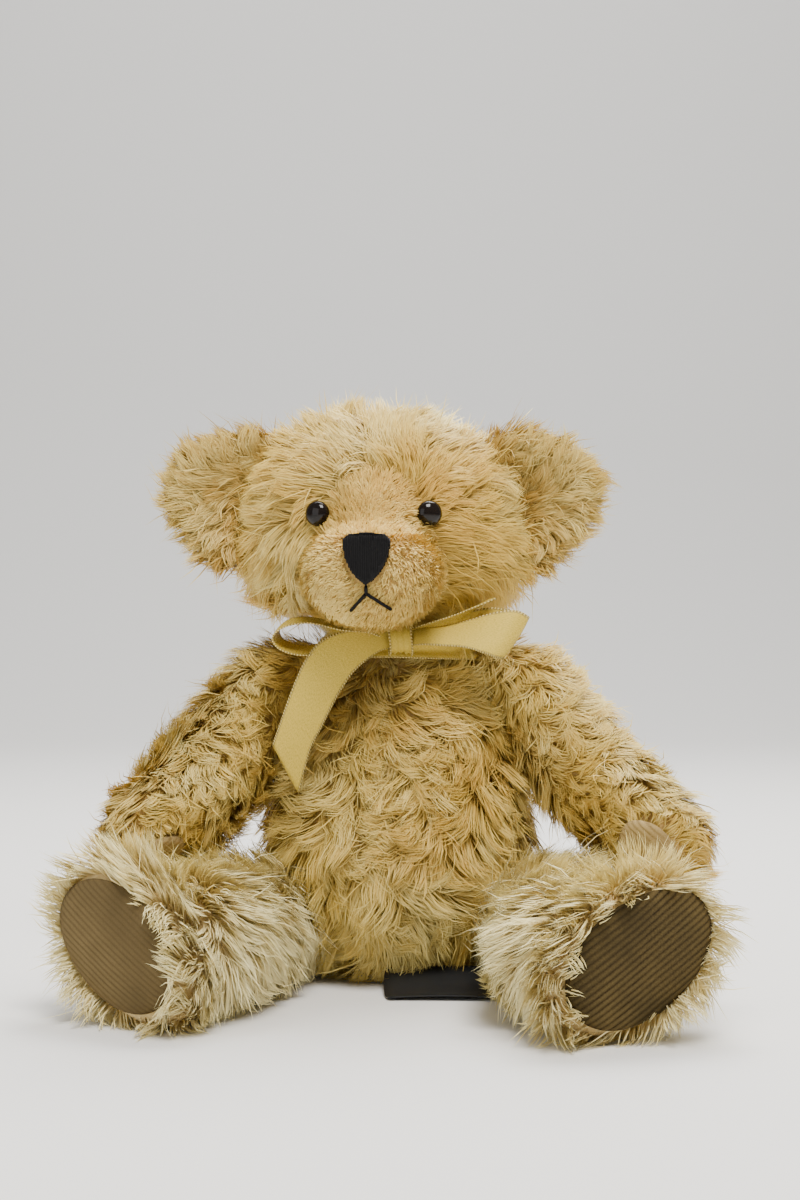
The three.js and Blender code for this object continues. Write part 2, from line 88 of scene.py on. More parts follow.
class Finish:
    """A material, written as expressions. Constants of its shader are set when it is made."""

    def __init__(self, name, **constants):
        self.material = bpy.data.materials.new(name)
        self.material.use_nodes = True
        self.tree = self.material.node_tree
        self.shader = self.tree.nodes["Principled BSDF"]
        for socket, value in constants.items():
            self.feed(self.shader.inputs[socket.replace("_", " ")], value)

    def feed(self, socket, value):
        if isinstance(value, Wire):
            self.tree.links.new(value.socket, socket)
        elif isinstance(value, tuple) and socket.type == "RGBA":
            socket.default_value = (*value, 1)
        else:
            socket.default_value = value

    def node(self, kind, sockets=None, out=0, **settings):
        """Any other node: its settings are set first, then the values or links of its sockets."""
        made = self.tree.nodes.new("ShaderNode" + kind)
        for name, value in settings.items():
            setattr(made, name, value)
        for name, value in (sockets or {}).items():
            self.feed(made.inputs[name], value)
        return Wire(self, made.outputs[out])

    def mix(self, share, a, b):
        factor, first, second, colour = 0, 6, 7, 2
        return self.node("Mix", {factor: share, first: a, second: b}, colour, data_type="RGBA")

    def noise(self, place, scale, detail=2.0, **settings):
        sockets = {"Vector": place, "Scale": scale, "Detail": detail}
        return self.node("TexNoise", sockets, "Fac", **settings)

    def place(self):
        return self.node("TexCoord", out="Object")

    def bump(self, height, distance):
        self.set(Normal=self.node("Bump", {"Height": height, "Distance": distance}))

    def set(self, **sockets):
        for socket, value in sockets.items():
            self.feed(self.shader.inputs[socket.replace("_", " ")], value)

    def dress(self, piece):
        piece.data.materials.clear()
        piece.data.materials.append(self.material)


PAPER_SIDE = 12
PAPER_STRIPS = 240
SWEEP_START = 0.9  # where the paper starts to curve up behind the bear
SWEEP_RADIUS = 0.7
table_finish = Finish("pale_paper", Roughness=0.8)
table_finish.set(Base_Color=(0.82, 0.81, 0.79))
bpy.ops.object.select_all(action="DESELECT")
bpy.ops.mesh.primitive_grid_add(size=PAPER_SIDE, x_subdivisions=2, y_subdivisions=PAPER_STRIPS)
table = bpy.context.object
table.name = "table"
for vertex in table.data.vertices:
    # Past the start of the sweep the paper runs a quarter turn, then straight up.
    past = max(vertex.co.y - SWEEP_START, 0)
    turn = min(past / SWEEP_RADIUS, math.pi / 2)
    straight = past - turn * SWEEP_RADIUS
    vertex.co.y = min(vertex.co.y, SWEEP_START) + SWEEP_RADIUS * math.sin(turn)
    vertex.co.z = SWEEP_RADIUS * (1 - math.cos(turn)) + straight
bpy.ops.object.shade_smooth()
table_finish.dress(table)

BEAR_MIDDLE = Vector((0, -0.03, 0.08))


def soft_light(name, place, size, power, colour, target=BEAR_MIDDLE):
    """A square soft box that faces the bear, or another place."""
    bpy.ops.object.light_add(type="AREA", location=place)
    light = bpy.context.object
    light.name = name
    light.data.size = size
    light.data.energy = power
    light.data.color = colour
    light.rotation_euler = (target - light.location).to_track_quat("-Z", "Y").to_euler()


soft_light("key_light", (0.12, -0.5, 0.9), 0.4, 13.5, (1.0, 0.97, 0.92))
soft_light("fill_light", (-0.7, -0.8, 0.35), 0.8, 3, (0.97, 0.98, 1.0))
soft_light("top_light", (0.15, 0.3, 0.8), 0.5, 11, (1.0, 0.98, 0.95))
soft_light("paper_light", (0, 0.5, 1.5), 1.2, 18, (1.0, 1.0, 1.0), Vector((0, 1.7, 0.5)))
world = bpy.data.worlds.new("soft_room")
bpy.context.scene.world = world
world.use_nodes = True
sky = world.node_tree.nodes["Background"]
sky.inputs["Color"].default_value = (0.93, 0.93, 0.92, 1)
sky.inputs["Strength"].default_value = 0.25

CAMERA_HEIGHT = 107 * MM
CAMERA_DISTANCE = 580 * MM
bpy.ops.object.camera_add(
    location=(0, -CAMERA_DISTANCE, CAMERA_HEIGHT), rotation=(math.pi / 2, 0, 0)
)
camera = bpy.context.object
camera.name = "camera"
camera.data.sensor_width = 36
camera.data.lens = 60
bpy.context.scene.camera = camera


# ---------------------------------------------------------------- body
# The body is a plush cover, sewn inside out with a seam down the belly, turned and stuffed tight.
# Its cloth is a golden-brown knitted backing, and the mohair pile is woven into it.
SIDES = {"left": 1, "right": -1}
CLOTH_GROWTH = 1.6 * MM  # how far the cloth of a cover lies outside its stuffing solid
PRESSURE = 4  # how hard the stuffing pushes the cloth
SETTLING = 20  # frames of cloth simulation
CLOTH_FLOOR = 0.2 * MM  # the lowest that a cover's cloth lies over the table


def numbers(collection, name, width):
    """One property of all a mesh's vertices, faces or corners, as rows of numbers."""
    found = np.empty(len(collection) * width, np.float32)
    collection.foreach_get(name, found)
    return found.reshape(-1, width)


def points_of(node):
    return numbers(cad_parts[node].data.vertices, "co", 3)


def middle_of(node):
    return points_of(node).mean(0)


def on_bench(name, data):
    """A new object that holds this mesh or curve, and is the only one selected."""
    bpy.ops.object.select_all(action="DESELECT")
    made = bpy.data.objects.new(name, data)
    bpy.context.collection.objects.link(made)
    bpy.context.view_layer.objects.active = made
    made.select_set(True)
    return made


def stuffed_skin(name, node, swell, growth=CLOTH_GROWTH, voxel=2.2 * MM):
    """The backing cloth of a cover: its stuffing solid, grown by the cloth, then swollen tight."""
    skin = on_bench(name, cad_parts[node].data.copy())
    bpy.ops.object.mode_set(mode="EDIT")
    bpy.ops.mesh.select_all(action="SELECT")
    bpy.ops.mesh.remove_doubles(threshold=0.01 * MM)
    bpy.ops.object.mode_set(mode="OBJECT")
    grow = skin.modifiers.new("grow", "DISPLACE")
    grow.strength = growth
    grow.mid_level = 0
    remesh = skin.modifiers.new("knit", "REMESH")
    remesh.mode = "VOXEL"
    remesh.voxel_size = voxel
    relax = skin.modifiers.new("relax", "SMOOTH")
    relax.iterations = 6
    for modifier in (grow, remesh, relax):
        bpy.ops.object.modifier_apply(modifier=modifier.name)
    before = numbers(skin.data.vertices, "co", 3)
    cloth = skin.modifiers.new("stuffing", "CLOTH")
    cloth.settings.use_pressure = True
    cloth.settings.uniform_pressure_force = PRESSURE
    cloth.settings.effector_weights.gravity = 0
    for step in range(1, SETTLING + 1):
        bpy.context.scene.frame_set(step)
    bpy.ops.object.modifier_apply(modifier=cloth.name)
    moved = numbers(skin.data.vertices, "co", 3) - before
    length = np.linalg.norm(moved, axis=1, keepdims=True)
    after = before + moved * np.minimum(1, swell / np.maximum(length, 1e-9))
    skin.data.vertices.foreach_set("co", after.ravel())
    bpy.context.scene.frame_set(1)
    at = numbers(skin.data.vertices, "co", 3)
    at[:, 2] = np.maximum(at[:, 2], CLOTH_FLOOR)
    skin.data.vertices.foreach_set("co", at.ravel())
    bpy.ops.object.shade_smooth()
    skin.data.update()
    return skin


def unit(vectors):
    """Each vector at length one."""
    return vectors / np.maximum(np.linalg.norm(vectors, axis=-1, keepdims=True), 1e-9)


def waves(places, size, seed):
    """Three smooth random numbers, about -1 to 1, at each place. They change over this size."""
    rng = np.random.default_rng(seed)
    ways = rng.normal(size=(3, 7, 3)) / size
    phase = rng.uniform(0, 2 * math.pi, (3, 7, 1))
    return np.sin(ways @ places.T + phase).mean(1) * 2


def spread_over(skin, count, rng):
    """Random places over a skin, with the skin's normal at each."""
    skin.data.calc_loop_triangles()
    corners = numbers(skin.data.loop_triangles, "vertices", 3).astype(int)
    at = numbers(skin.data.vertices, "co", 3).astype(float)
    normals = numbers(skin.data.vertex_normals, "vector", 3).astype(float)
    a, b, c = at[corners].transpose(1, 0, 2)
    area = np.linalg.norm(np.cross(b - a, c - a), axis=1)
    chosen = corners[rng.choice(len(corners), count, p=area / area.sum())]
    share = rng.dirichlet((1, 1, 1), count)[:, :, None]
    return (at[chosen] * share).sum(1), unit((normals[chosen] * share).sum(1))


def tree_of(thing):
    """A search tree of a piece, or of CAD nodes given by name."""
    if isinstance(thing, str):
        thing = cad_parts[thing]
    faces = [tuple(p.vertices) for p in thing.data.polygons]
    return BVHTree.FromPolygons([v.co for v in thing.data.vertices], faces)


def distance_to(places, thing):
    """How far each place is from a piece or a CAD node."""
    tree = tree_of(thing)
    return np.array([tree.find_nearest(Vector(p))[3] for p in places])


def nearest_node(places, *nodes):
    """Which of these CAD nodes is nearest to each place, as its place in the list."""
    return np.argmin([distance_to(places, node) for node in nodes], axis=0)


def inside(places, thing, margin=0.0):
    """Whether each place is deeper than a margin inside a closed piece."""
    tree = tree_of(thing)
    found = np.zeros(len(places), bool)
    for i, p in enumerate(places):
        near, normal, _, gap = tree.find_nearest(Vector(p))
        found[i] = (Vector(p) - near).dot(normal) < 0 and gap > margin
    return found


def turned(vectors, axes, angles):
    """Each vector turned about its own unit axis, which is square to it."""
    return (
        vectors * np.cos(angles)[:, None] + np.cross(axes, vectors) * np.sin(angles)[:, None]
    )


TINTS = 256  # how many warmths the pile is dyed in
PALES = 16  # how many palenesses, from golden to cream
FLOOR_GAP = 0.3 * MM  # the lowest that a hair or a panel lies over the table


def lay_pile(
    name, roots, normals, comb, length, pale, warm, rng, lift,
    width=0.36, lock=26, pinch=0.62, stray=0.05, swirl=0.45, curl=0.6, steps=3, ragged=1.0,
):
    """Pile as tapered flat hairs, gathered into locks that lie the way the pile is combed.

    length and width are in millimetres. lift is the angle to the cloth at the root and at the tip,
    in degrees. swirl and curl are how far the hairs turn from the comb, at the root and along
    their length. lock is the number of hairs in a lock, pinch is how far its tips are drawn
    together, ragged is how much the locks differ, and stray is the share of loose hairs.
    """
    count = len(roots)
    groups = max(count // lock, 1)
    seeds = rng.choice(count, groups, replace=False)
    finder = KDTree(groups)
    for i, s in enumerate(seeds):
        finder.insert(roots[s], i)
    finder.balance()
    wander = roots + rng.normal(0, 0.5 * MM, roots.shape)
    group = np.array([finder.find(p)[1] for p in wander])

    def by_lock(spread):
        return rng.normal(0, spread * ragged, groups)[group]

    flat = unit(comb - normals * (comb * normals).sum(1, keepdims=True))
    drift = waves(roots, 11 * MM, rng.integers(1 << 30))
    heading = swirl * (1.3 * drift[0] + by_lock(0.4)) + rng.normal(0, 0.1, count)
    free = rng.random(count) < stray
    heading += free * rng.normal(0, 0.5, count)
    bend = curl * (1.1 * drift[1] + by_lock(0.6)) + rng.normal(0, 0.15, count)
    long = length * MM * (1 + 0.14 * by_lock(1) + rng.normal(0, 0.14, count) + 0.15 * free)
    long = np.maximum(long, 0.4 * length * MM)
    rise = 1 + 0.25 * by_lock(1) + 0.15 * drift[2] + 0.3 * free
    path = [roots]
    for k in range(steps):
        along = (k + 0.5) / steps
        angle = np.radians(lift[0] + (lift[1] - lift[0]) * along) * rise
        way = turned(flat, normals, heading + bend * along * 1.6)
        way = way * np.cos(angle)[:, None] + normals * np.sin(angle)[:, None]
        path.append(path[-1] + way * (long / steps)[:, None])
    members = np.maximum(np.bincount(group, minlength=groups), 1)[:, None]
    drawn = np.where(free, 0.0, pinch)[:, None]
    for k in range(1, steps + 1):
        middle = np.stack([np.bincount(group, x, groups) for x in path[k].T], 1) / members
        gather = drawn * (k / steps) ** 1.5
        path[k] = path[k] * (1 - gather) + middle[group] * gather
    points = np.stack(path, 1)
    points[:, :, 2] = np.maximum(points[:, :, 2], FLOOR_GAP)

    # Each hair is a narrow strip that ends in a point.
    way = unit(np.gradient(points, axis=1))
    facing = unit(normals + rng.normal(0, 0.35, normals.shape))[:, None]
    side = unit(np.cross(way, np.broadcast_to(facing, way.shape)))
    taper = np.linspace(1.0, 0.6, steps)
    half = 0.5 * width * MM * rng.uniform(0.7, 1.3, (count, 1)) * taper
    left = points[:, :-1] - side[:, :-1] * half[:, :, None]
    right = points[:, :-1] + side[:, :-1] * half[:, :, None]
    verts = np.concatenate([np.stack([left, right], 2).reshape(count, -1, 3), points[:, -1:]], 1)
    each = verts.shape[1]

    ring = []
    for k in range(steps - 1):
        ring += [2 * k, 2 * k + 1, 2 * k + 3, 2 * k + 2]
    ring += [2 * steps - 2, 2 * steps - 1, 2 * steps]
    sizes = np.tile([4] * (steps - 1) + [3], count)
    loops = (np.array(ring) + each * np.arange(count)[:, None]).ravel()
    mesh = bpy.data.meshes.new(name)
    mesh.vertices.add(count * each)
    mesh.vertices.foreach_set("co", verts.astype(np.float32).ravel())
    mesh.loops.add(len(loops))
    mesh.loops.foreach_set("vertex_index", loops.astype(np.int32))
    mesh.polygons.add(len(sizes))
    mesh.polygons.foreach_set("loop_start", np.concatenate([[0], np.cumsum(sizes)[:-1]]))

    # Every hair has its own spot on the pile map, which its colour is read from.
    pale = np.clip(pale + 0.12 * by_lock(1) + rng.normal(0, 0.16, count), 0, 0.999)
    warm = np.clip(warm + 0.12 * by_lock(1) + rng.normal(0, 0.12, count), 0, 0.999)
    column = np.floor(warm * TINTS)[:, None]
    row = np.floor(pale * PALES)[:, None]
    across = np.array([0.1, 0.9] * steps + [0.5])
    upward = np.array([k / steps for k in range(steps) for _ in (0, 1)] + [1.0])
    u = (column + across) / TINTS
    v = (row + 0.04 + 0.92 * upward) / PALES
    uv = np.stack([u, v], 2).reshape(-1, 2)[loops]
    for layer in ("pile", "OFBake"):
        mesh.uv_layers.new(name=layer, do_init=False)
        mesh.uv_layers[layer].uv.foreach_set("vector", uv.astype(np.float32).ravel())
    mesh.update(calc_edges=True)

    # Hairs are shaded as round strands: the cloth's normal, made square to each hair.
    doubled = np.concatenate([np.repeat(way[:, :-1], 2, axis=1), way[:, -1:]], 1)
    round_off = np.concatenate([np.stack([-side, side], 2)[:, :-1].reshape(count, -1, 3),
                                np.zeros((count, 1, 3))], 1)
    soft = normals[:, None] * 0.8 + facing * 0.4
    soft = soft - 0.85 * doubled * (soft * doubled).sum(2, keepdims=True)
    soft = unit(soft + round_off * 0.4)
    mesh.polygons.foreach_set("use_smooth", np.ones(len(sizes), bool))
    mesh.normals_split_custom_set_from_vertices(soft.reshape(-1, 3))
    return on_bench(name, mesh)


def mohair_finish(name, root, gold, cream, rust):
    """Pile golden at the root and paler to the tip. The dark root colour is partly the dye and
    partly painted shade, for the shade deep in the pile between the locks. The pile map's columns
    run from neutral to rusty and its rows from golden to cream, and each row is one hair from root
    to tip."""
    finish = Finish(name, Roughness=0.42, Specular_IOR_Level=0.42)
    finish.set(Specular_Tint=(1.0, 0.84, 0.5))
    place = finish.node("UVMap", uv_map="pile")
    u = finish.node("SeparateXYZ", {0: place}, "X")
    v = finish.node("SeparateXYZ", {0: place}, "Y") * PALES
    row = finish.node("Math", {0: v}, operation="FLOOR")
    along = v - row
    pale = row * (1 / PALES)
    hair = finish.node("CombineXYZ", {"X": u * 640, "Y": along * 1.5 + row * 7.3})
    streak = finish.noise(hair, 1.0, 1.0, noise_dimensions="2D")
    ends = finish.mix(pale, gold, cream)
    ends = finish.mix(u ** 2.0 * 0.9, ends, rust)
    shade = along ** 0.75 + (streak - 0.5) * 0.7
    finish.set(Base_Color=finish.mix(finish.node("Clamp", {0: shade}), root, ends))
    return finish


mohair = mohair_finish(
    "mohair", (0.38, 0.225, 0.035), (0.79, 0.555, 0.115), (0.95, 0.83, 0.34), (0.77, 0.455, 0.09)
)


def knitted_backing(name, dark, light):
    """The cloth that the pile is woven into, seen where the pile parts."""
    finish = Finish(name, Roughness=0.95)
    knit = finish.noise(finish.place(), 900, 2)
    finish.set(Base_Color=finish.mix(knit, dark, light))
    finish.bump(knit, 0.3 * MM)
    return finish


# The body's backing is dark golden-brown, partly its own colour and partly painted shade, for the
# shade deep between the locks where it shows.
backing = knitted_backing("knitted_backing", (0.34, 0.2, 0.05), (0.55, 0.36, 0.11))


def covered(places, ways, node, reach):
    """Whether something of a CAD node lies over each place, within this reach."""
    tree = tree_of(node)
    return np.array([
        tree.ray_cast(Vector(p), Vector(w), reach)[0] is not None for p, w in zip(places, ways)
    ])


def thinned(roots, rng, hidden, back=0.62, under=0.4):
    """Which places keep their hair: fewer at the back and underneath, none where it is hidden."""
    share = np.where(roots[:, 1] > -4 * MM, back, 1.0)
    share = np.where(roots[:, 2] < 6 * MM, under, share)
    return ~hidden & (rng.random(len(roots)) < share)


def ways_like(places, x, y, z):
    """One direction for each place, from numbers or arrays of numbers."""
    return np.stack([np.broadcast_to(part, len(places)) for part in (x, y, z)], 1).astype(float)


def pale_patches(places, size=9 * MM):
    return waves(places, size, 5)[0]


def warm_patches(places, size=12 * MM):
    return waves(places, size, 6)[0]


def finish_cover(skin, pile, nodes, fur=mohair, cloth=backing):
    """Dresses a stuffed cover and its pile, attaches both to the root body and hides the CAD nodes
    they replace.
    """
    cloth.dress(skin)
    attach(skin, "root")
    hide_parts(*nodes)
    fur.dress(pile)
    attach(pile, "root")


SWELL = 1.2 * MM  # how far the stuffing swells a cover
ARM_SWELL = 1.0 * MM
body_skin = stuffed_skin("body_cover_cloth", "body_stuffing", SWELL)
head_skin = stuffed_skin("head_cover_cloth", "head_stuffing", SWELL)
arm_skins = {
    side: stuffed_skin(f"arm_cover_cloth_{side}", f"arm_stuffing_{side}", ARM_SWELL)
    for side in SIDES
}
leg_skins = {
    side: stuffed_skin(f"leg_cover_cloth_{side}", f"leg_stuffing_{side}", SWELL)
    for side in SIDES
}

SEAT_HEIGHT = 1.5 * MM  # pile that would root lower is pressed flat
BODY_HAIRS = 44000
BODY_PILE = 12.0  # this and the other lengths of pile are in millimetres
NECK_PILE = 5.0
BOW_PILE = 3.5  # where the bow presses it flat
NECK_HEIGHT = 88  # where the body narrows to the neck
rng = np.random.default_rng(11)
roots, normals = spread_over(body_skin, BODY_HAIRS, rng)
hidden = inside(roots, head_skin) | (roots[:, 2] < SEAT_HEIGHT)
for skin in (*arm_skins.values(), *leg_skins.values()):
    hidden |= inside(roots, skin)
keep = thinned(roots, rng, hidden)
roots, normals = roots[keep], normals[keep]
x, y, z = roots.T / MM
comb = ways_like(roots, 0.5 * np.tanh(x / 5), -0.1, -1.0)
under_bow = covered(roots, normals + np.array((0, -0.6, 0)), "neck_ribbon", 14 * MM)
length = np.where(under_bow, BOW_PILE, np.where(z > NECK_HEIGHT, NECK_PILE, BODY_PILE))
pale = 0.42 + 0.3 * pale_patches(roots)
warm = 0.26 + 0.32 * warm_patches(roots)
body_pile = lay_pile(
    "body_pile", roots, normals, comb, length, pale, warm, rng, swirl=0.65, curl=1.15, lock=32,
    pinch=0.52, ragged=0.9, width=0.38, lift=(38, np.where(under_bow, 2.0, 10.0)),
)
finish_cover(body_skin, body_pile, ["body_cover"])


# ---------------------------------------------------------------- legs
# Each leg is a stuffed tube that ends in a foot. Its pile is the palest on the bear, partly from
# its own cream colour and partly painted light that makes up for the shade the arms and body cast
# on it, and it stands out round the sole.
# Painted light: this mohair is lighter at the root and in its gold than the body's, to make up for
# the shade that the arms and body cast on the legs.
lightened_leg_mohair = mohair_finish(
    "lightened_leg_mohair", (0.69, 0.52, 0.21), (0.9, 0.755, 0.31), (0.98, 0.92, 0.55), (0.87, 0.65, 0.23)
)
pale_backing = knitted_backing("pale_backing", (0.58, 0.42, 0.18), (0.74, 0.57, 0.27))
LEG_HAIRS = 24000
LEG_PILE = 10.0
SOLE_PILE = 6.5  # on the front of the foot, round the sole
FOOT_REACH = 15 * MM  # how far back from the sole its pile still leans forward
for side, sign in SIDES.items():
    rng = np.random.default_rng(21 + sign)
    skin = leg_skins[side]
    roots, normals = spread_over(skin, LEG_HAIRS, rng)
    bare = nearest_node(roots, f"leg_cover_{side}", f"foot_pad_{side}") == 1
    bare |= inside(roots, body_skin) | inside(roots, arm_skins[side]) | (roots[:, 2] < SEAT_HEIGHT)
    keep = thinned(roots, rng, bare)
    roots, normals = roots[keep], normals[keep]
    pad = middle_of(f"foot_pad_{side}")
    along = unit(pad - middle_of(f"leg_stuffing_{side}"))
    behind = (pad - roots) @ along
    spread = unit(roots - pad + np.outer(behind, along))
    near = np.exp(-(np.maximum(behind, 0) / FOOT_REACH) ** 2)
    front = normals @ along > 0.45
    comb = ways_like(roots, 0.3 * sign, -0.45, -0.8) * (1 - near)[:, None]
    outwards = 0.1 + 1.0 * waves(roots, 7 * MM, 9)[0]
    comb = comb + near[:, None] * (along + 0.3 * spread) + (front * outwards)[:, None] * spread
    thigh = np.clip(normals[:, 2], 0, 1) * (1 - near)
    length = np.where(front, SOLE_PILE, LEG_PILE + 2.5 * near + 3.0 * thigh)
    pale = 0.84 + 0.16 * pale_patches(roots, 11 * MM)
    warm = 0.1 + 0.16 * warm_patches(roots)
    pile = lay_pile(
        f"leg_pile_{side}", roots, normals, comb, length, pale, warm, rng, swirl=0.55, curl=0.9,
        ragged=0.8, pinch=0.45, width=0.42, lift=(44, 12 + 20 * near),
    )
    finish_cover(skin, pile, [f"leg_cover_{side}"], fur=lightened_leg_mohair, cloth=pale_backing)


# ---------------------------------------------------------------- arms
# Each arm is a stuffed tube, sewn on at the shoulder and bent forward. Its pile is shorter and more
# curly than the rest.
ARM_HAIRS = 17000
ARM_PILE = 8.5
ARM_BOW_PILE = 3.0
SHOULDER_FLUFF = {"left": 0.5, "right": 3.5}  # extra length outside the upper arm
PALM_REACH = 4 * MM  # how far the pile round a palm is brushed away from it
for side, sign in SIDES.items():
    rng = np.random.default_rng(31 + sign)
    skin = arm_skins[side]
    roots, normals = spread_over(skin, ARM_HAIRS, rng)
    bare = nearest_node(roots, f"arm_cover_{side}", f"paw_pad_{side}") == 1
    bare |= inside(roots, body_skin) | inside(roots, leg_skins[side])
    keep = thinned(roots, rng, bare, 0.75)
    roots, normals = roots[keep], normals[keep]
    by_palm = np.exp(-(distance_to(roots, f"paw_pad_{side}") / PALM_REACH) ** 2)
    comb = ways_like(roots, 0.7 * sign, -0.45, -1.0) * (1 - by_palm)[:, None]
    comb = comb + 1.4 * by_palm[:, None] * unit(roots - middle_of(f"paw_pad_{side}"))
    shoulder = np.clip(sign * normals[:, 0], 0, 1) * np.clip(roots[:, 2] / MM / 20 - 2.5, 0, 1)
    hanging = ARM_PILE + 3.5 * np.clip(-normals[:, 2], 0, 1) + SHOULDER_FLUFF[side] * shoulder
    length = np.where(covered(roots, normals, "neck_ribbon", 10 * MM), ARM_BOW_PILE, hanging)
    length = length * (1 - 0.5 * by_palm)
    # Painted light and shade: the pile is paler on the outer and upper side of each arm, where the
    # light falls on it, and darker on the inner side by the body.
    outer = np.clip(sign * normals[:, 0] + normals[:, 2], 0, 1)
    pale = 0.24 + 0.34 * outer + 0.3 * pale_patches(roots)
    warm = 0.26 + 0.28 * warm_patches(roots)
    pile = lay_pile(
        f"arm_pile_{side}", roots, normals, comb, length, pale, warm, rng,
        swirl=0.75, curl=1.1, lock=24, pinch=0.48, ragged=0.8, lift=(38, 10),
    )
    finish_cover(skin, pile, [f"arm_cover_{side}"])


# ---------------------------------------------------------------- head
# The head is a stuffed ball of long-pile plush, with a muzzle panel of short pile let into its
# front. The long pile is brushed out from the face.
HEAD_HAIRS = 56500
HEAD_PILE = 10.5
CHIN_PILE = 5.0
HEAD_MIDDLE = (-5, -8, 128)  # in millimetres, as the places below are
MUZZLE_MIDDLE = np.array((-5, -45, 114))


def to_eyes(places):
    """How far each place is from the nearest eye, in millimetres."""
    return np.min([distance_to(places, f"eye_{side}") for side in SIDES], axis=0) / MM


rng = np.random.default_rng(41)
roots, normals = spread_over(head_skin, HEAD_HAIRS, rng)
part = nearest_node(roots, "head_cover", "muzzle_panel")
hidden = inside(roots, body_skin)
furred = (part == 0) & thinned(roots, rng, hidden, 0.68)
roots, normals = roots[furred], normals[furred]
x, y, z = (roots / MM - HEAD_MIDDLE).T
back = np.clip((y + 8) / 16, 0, 1)
low = np.clip((4 - z) / 18, 0, 1)
crown = np.clip((z - 18) / 8, 0, 1)
brow = (1 - back) * np.clip(z / 8, 0, 1)
from_face = unit(roots - MUZZLE_MIDDLE * MM)
comb = from_face * (1 - 0.7 * back)[:, None]
comb = comb + ways_like(roots, 0.8 * brow * np.tanh(x / 4), 0.3 * back, -0.7 * low - back)
temple = np.clip((np.abs(x) - 14) / 10, 0, 1) * np.clip((z - 6) / 9, 0, 1) * (1 - 0.5 * back)
comb = comb + ways_like(roots, 1.3 * np.sign(x) * temple, 0, 0.25 * temple)
to_eye = to_eyes(roots)
clear = to_eye > 0.4
jowl = low * np.clip((np.abs(x) - 14) / 10, 0, 1)
under_chin = (z < -17) & (np.abs(x) < 22)
length = HEAD_PILE + 2.0 * low + 1.5 * crown + 3.0 * jowl + 3.5 * temple
length = np.where(under_chin, CHIN_PILE, length) * np.clip(0.58 + to_eye / 15, 0, 1)
# Painted shade: the pile is darker and warmer within 5 mm of the eyes, for the shade in the eye
# sockets, and less pale on the lower cheeks, for the shade under the head.
pale = 0.38 + 0.42 * pale_patches(roots) - 0.3 * (to_eye < 5) - 0.2 * jowl
warm = 0.34 + 0.45 * warm_patches(roots) + 0.2 * (to_eye < 5)
head_pile = lay_pile(
    "head_pile", roots[clear], normals[clear], comb[clear], length[clear], pale[clear],
    warm[clear], rng, lock=38, swirl=0.55, curl=0.8, ragged=0.8, pinch=0.52,
    lift=(38, (7 + 14 * crown)[clear]),
)
finish_cover(head_skin, head_pile, ["head_cover", "muzzle_panel"])

MUZZLE_TRIES = 100000  # places over the whole head, of which the muzzle panel keeps its share
SHORT_PILE = 1.6  # at the front of the muzzle
EYE_RIM_PILE = 3.6  # close round the eyes
STITCH_CLEAR = 0.8 * MM  # no pile roots this near the nose and mouth
rng = np.random.default_rng(42)
roots, normals = spread_over(head_skin, MUZZLE_TRIES, rng)
part = nearest_node(roots, "head_cover", "muzzle_panel")
keep = (part == 1) & ~inside(roots, body_skin)
roots, normals = roots[keep], normals[keep]
stitched = ("nose_embroidery", "mouth_stitch_centre", "mouth_stitch_left", "mouth_stitch_right")
clear = np.min([distance_to(roots, node) for node in stitched], axis=0) > STITCH_CLEAR
roots, normals = roots[clear], normals[clear]
x, y, z = (roots / MM - HEAD_MIDDLE).T
down = ways_like(roots, 0.4 * np.tanh(x / 8), 0, np.where(z > -4, 0.6, -1.0))
bridge = np.clip((z + 8) / 6, 0, 1)
length = SHORT_PILE + 2.4 * np.clip((y + 38) / 12, 0, 1)
length = np.where(to_eyes(roots) < 4, EYE_RIM_PILE, length)
pale = 0.5 + 0.2 * pale_patches(roots, 6 * MM) - 0.3 * bridge
warm = 0.2 + 0.18 * warm_patches(roots, 9 * MM) + 0.45 * bridge
muzzle_pile = lay_pile(
    "muzzle_pile", roots, normals, down, length, pale, warm, rng,
    width=0.34, lift=(68, 30), lock=8, pinch=0.25, stray=0.0, steps=2,
)
short_pile = mohair_finish(
    "short_pile", (0.68, 0.45, 0.11), (0.84, 0.6, 0.15), (0.93, 0.77, 0.28), (0.86, 0.52, 0.1)
)
short_pile.dress(muzzle_pile)
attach(muzzle_pile, "root")


